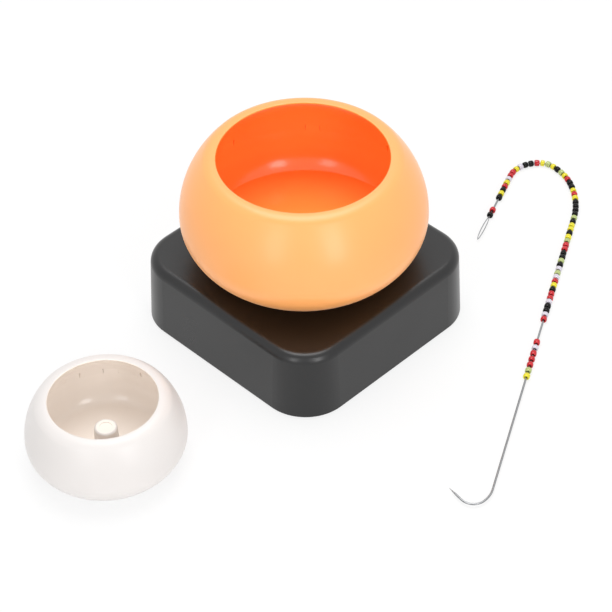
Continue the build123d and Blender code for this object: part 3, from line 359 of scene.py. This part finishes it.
orange_abs = moulded(
    "moulded_orange_abs",
    "#ffb068",
    "#ffad63",
    0.34,
    grain=0.6,
    depth=0.006,
    cloud=60.0,
    polish=0.02,
    # Inner walls: a painted deeper orange for bounce light, and a painted red glow.
    hollow=(hollow_of("large_bowl_dome"), "#ffa950", 0.17, "#ff3608", 0.1),
)
# The photographed bowl goes pale along its outline: a faint sheen stands in for that.
pale_edge = {"Sheen Weight": 0.22, "Sheen Roughness": 0.25, "Sheen Tint": ink("#fff0f0")}
for socket, value in pale_edge.items():
    orange_abs.node_tree.nodes["Principled BSDF"].inputs[socket].default_value = value
dress(orange_abs, "large_bowl_dome", "large_bowl_dish", "large_bowl_socket")

# Small bowl: the same make in cream ABS, a warm white whose inside goes beige: its inner walls are painted a
# warmer, lighter white as painted bounce light.
# Its inside gives off a painted glow half as strong as the large bowl's, in a paler colour.
cream_abs = moulded(
    "moulded_cream_abs",
    "#e1dddb",
    "#dfdad7",
    0.36,
    grain=0.6,
    depth=0.006,
    cloud=60.0,
    polish=0.02,
    # Inner walls: a painted warmer white for bounce light, and a faint painted glow.
    hollow=(hollow_of("small_bowl_dome"), "#f5efe8", 0.17, "#ffd8c0", 0.05),
)
dress(cream_abs, "small_bowl_dome", "small_bowl_dish", "small_bowl_socket")

# Needle: hard drawn stainless spring wire, bent by hand, with an eye at one end.
# Drawing leaves a fine polish that is neither dull nor mirror bright.
needle_steel = metal("drawn_stainless_wire", "#9fa0a2", "#8b8c8e", 0.3, grain=1.5, depth=0.003)
dress(needle_steel, "needle_wire")

# Seed beads: short lengths cut from glass tube and tumbled hot until their ends are round.
# They are never quite alike: each has its own small change of length, thickness and tilt,
# and each sits on the wire where the frame has a plain bead.
bead_glass = {
    "red": ("opaque_red_glass", "#d0202c", "#b3141f", 0.14, 0.4),
    "yellow": ("opaque_yellow_glass", "#e8de2e", "#d6ca1c", 0.14, 0.4),
    "black": ("opaque_black_glass", "#060606", "#030303", 0.12, 0.2),
    "green": ("pale_green_glass", "#b7c481", "#a3b36a", 0.12, 0.5),
    "clear": ("lilac_lined_glass", "#dcd7e2", "#c4bfcc", 0.1, 0.5),
}
bead_hole = 0.7 * MM
bead_squareness = 0.75
bead_tilt = 0.09
bead_slip = 0.12 * MM
bead_thickness_shares = (0.93, 0.99)
bead_length_shares = (0.86, 1.06)
outline_steps = 18
round_steps = 28
luck = random.Random(11)


def frame_beads(node):
    """Centre, direction, radius and half length of each separate bead in a node of the frame."""
    shape = bmesh.new()
    shape.from_mesh(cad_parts[node].data)
    bmesh.ops.remove_doubles(shape, verts=shape.verts, dist=0.001 * MM)
    left = set(shape.verts)
    found = []
    while left:
        group, edge = set(), [left.pop()]
        while edge:
            vert = edge.pop()
            group.add(vert)
            for link in vert.link_edges:
                other = link.other_vert(vert)
                if other in left:
                    left.remove(other)
                    edge.append(other)
        points = numpy.array([v.co for v in group])
        centre = (points.min(axis=0) + points.max(axis=0)) / 2
        spread, ways = numpy.linalg.eigh(numpy.cov((points - centre).T))
        odd = 0 if spread[1] - spread[0] > spread[2] - spread[1] else 2
        way = ways[:, odd]
        along = (points - centre) @ way
        across = numpy.linalg.norm(points - centre - numpy.outer(along, way), axis=1)
        found.append((Vector(centre), Vector(way), across.max(), along.max()))
    shape.free()
    return sorted(found, key=lambda bead: tuple(bead[0]))


def bead_outline(radius, half):
    """Points of a bead's section: a squarish round, from the hole out and back."""
    middle = (radius + bead_hole) / 2
    thick = (radius - bead_hole) / 2
    points = []
    for k in range(outline_steps):
        turn = 2 * math.pi * k / outline_steps
        out, up = math.cos(turn), math.sin(turn)
        out = math.copysign(abs(out) ** bead_squareness, out)
        up = math.copysign(abs(up) ** bead_squareness, up)
        points.append((middle + thick * out, half * up))
    return points


for colour, (name, tone, shade, gloss, shine) in bead_glass.items():
    mesh = bpy.data.meshes.new("seed_beads_" + colour)
    shape = bmesh.new()
    for centre, way, radius, half in frame_beads("beads_" + colour):
        tilt = Vector((luck.uniform(-1, 1), luck.uniform(-1, 1), luck.uniform(-1, 1))) * bead_tilt
        way = (way + tilt).normalized()
        centre = centre + way * luck.uniform(-bead_slip, bead_slip)
        thick = radius * luck.uniform(*bead_thickness_shares)
        outline = bead_outline(thick, half * luck.uniform(*bead_length_shares))
        turn = way.to_track_quat("Z", "Y")
        rings = []
        for step in range(round_steps):
            angle = 2 * math.pi * step / round_steps
            spoke = Vector((math.cos(angle), math.sin(angle), 0))
            places = [centre + turn @ (spoke * out + Vector((0, 0, up))) for out, up in outline]
            rings.append([shape.verts.new(spot) for spot in places])
        for here, there in zip(rings, rings[1:] + rings[:1]):
            for k in range(outline_steps):
                after = (k + 1) % outline_steps
                shape.faces.new((here[k], there[k], there[after], here[after])).smooth = True
    bmesh.ops.recalc_face_normals(shape, faces=shape.faces)
    shape.to_mesh(mesh)
    shape.free()
    beads = bpy.data.objects.new("seed_beads_" + colour, mesh)
    bpy.context.collection.objects.link(beads)
    glass = moulded(name, tone, shade, gloss, grain=1.2, depth=0.008, ior=1.52, cloud=3.0, polish=0.03)
    glass.node_tree.nodes["Principled BSDF"].inputs["Specular IOR Level"].default_value = shine
    mesh.materials.append(glass)
    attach(beads, "needle")
    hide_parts("beads_" + colour)

# Studio: a white sweep that the set stands on, and a white room round it.
# The camera sees both as plain white, while the floor keeps a faint shadow.
floor_mesh = bpy.data.meshes.new("sweep")
reach = 6.0
floor_whiteness = 0.8
room_level = 0.59
floor_mesh.from_pydata(
    [(-reach, -reach, 0), (reach, -reach, 0), (reach, reach, 0), (-reach, reach, 0)], [], [(0, 1, 2, 3)]
)
sweep = bpy.data.objects.new("sweep", floor_mesh)
bpy.context.collection.objects.link(sweep)
paper, tree, shader = blank("white_paper", 0.0, 0.9)
shader.inputs["Base Color"].default_value = ink("#f4f4f4")
shader.inputs["Specular IOR Level"].default_value = 0.0


def seen_rays(tree):
    """One for rays that look: from the camera, or by way of a gloss or a glass."""
    ray = add(tree, "ShaderNodeLightPath", {}, {})
    total = ray.outputs["Is Camera Ray"]
    for kind in ("Is Glossy Ray", "Is Transmission Ray"):
        both = add(
            tree,
            "ShaderNodeMath",
            {"operation": "MAXIMUM"},
            {"Value": total, "Value_001": ray.outputs[kind]},
        )
        total = both.outputs["Value"]
    return total


white = add(tree, "ShaderNodeEmission", {"Color": ink("#ffffff"), "Strength": 1.0}, {})
share = add(
    tree,
    "ShaderNodeMath",
    {"operation": "MULTIPLY", "Value_001": floor_whiteness},
    {"Value": seen_rays(tree)},
)
mix = add(
    tree,
    "ShaderNodeMixShader",
    {},
    {
        "Fac": share.outputs["Value"],
        "Shader": shader.outputs["BSDF"],
        "Shader_001": white.outputs["Emission"],
    },
)
tree.links.new(mix.outputs["Shader"], tree.nodes["Material Output"].inputs["Surface"])
floor_mesh.materials.append(paper)

room = bpy.data.worlds.new("white_room")
bpy.context.scene.world = room
room.use_nodes = True
tree = room.node_tree
background = tree.nodes["Background"]
level = add(
    tree,
    "ShaderNodeMapRange",
    {"To Min": room_level, "To Max": 1.0},
    {"Value": seen_rays(tree)},
)
background.inputs["Color"].default_value = ink("#ffffff")
tree.links.new(level.outputs["Result"], background.inputs["Strength"])


def softbox(name, spot, aim, wide, high, power):
    """A rectangular lamp at spot, turned to aim, in metres and watts."""
    lamp = bpy.data.lights.new(name, "AREA")
    lamp.shape = "RECTANGLE"
    lamp.size = wide
    lamp.size_y = high
    lamp.energy = power
    holder = bpy.data.objects.new(name, lamp)
    bpy.context.collection.objects.link(holder)
    holder.location = spot
    holder.rotation_euler = (Vector(aim) - Vector(spot)).to_track_quat("-Z", "Y").to_euler()


# Two tall softboxes stand left and right of the camera, and one hangs overhead.
azimuth = math.radians(45.47)
side = Vector((math.cos(azimuth), math.sin(azimuth), 0))
front = Vector((math.sin(azimuth), -math.cos(azimuth), 0))
bowl_spot = (0, 0, 0.06)
between = front * 0.9 + Vector((0, 0, 0.42))
apart = side * 0.44
tall_wide, tall_high = 0.24, 0.76
top_wide = 0.9
softbox("left_softbox", between - apart, bowl_spot, tall_wide, tall_high, 1.9)
softbox("right_softbox", between + apart, bowl_spot, tall_wide, tall_high, 3.0)
softbox("top_softbox", -front * 0.3 + Vector((0, 0, 1.3)), bowl_spot, top_wide, top_wide, 10.5)

# Camera: a long lens that looks down at the front corner of the case.
pitch = math.radians(42.65)
lean = math.radians(-1.016)
distance = 1174.3 * MM
back = front * math.cos(pitch) + Vector((0, 0, math.sin(pitch)))
upright = back.cross(side)
aim = side * 0.158 * MM + upright * 1.41 * MM
lens = bpy.data.cameras.new("camera")
lens.sensor_width = 36.0
lens.lens = 130.3
camera = bpy.data.objects.new("camera", lens)
bpy.context.collection.objects.link(camera)
turn = Matrix((side, upright, back)).transposed().to_4x4()
roll = Matrix.Rotation(lean, 4, "Z")
camera.matrix_world = Matrix.Translation(aim + back * distance) @ turn @ roll
bpy.context.scene.camera = camera
bpy.context.scene.view_settings.view_transform = "Standard"
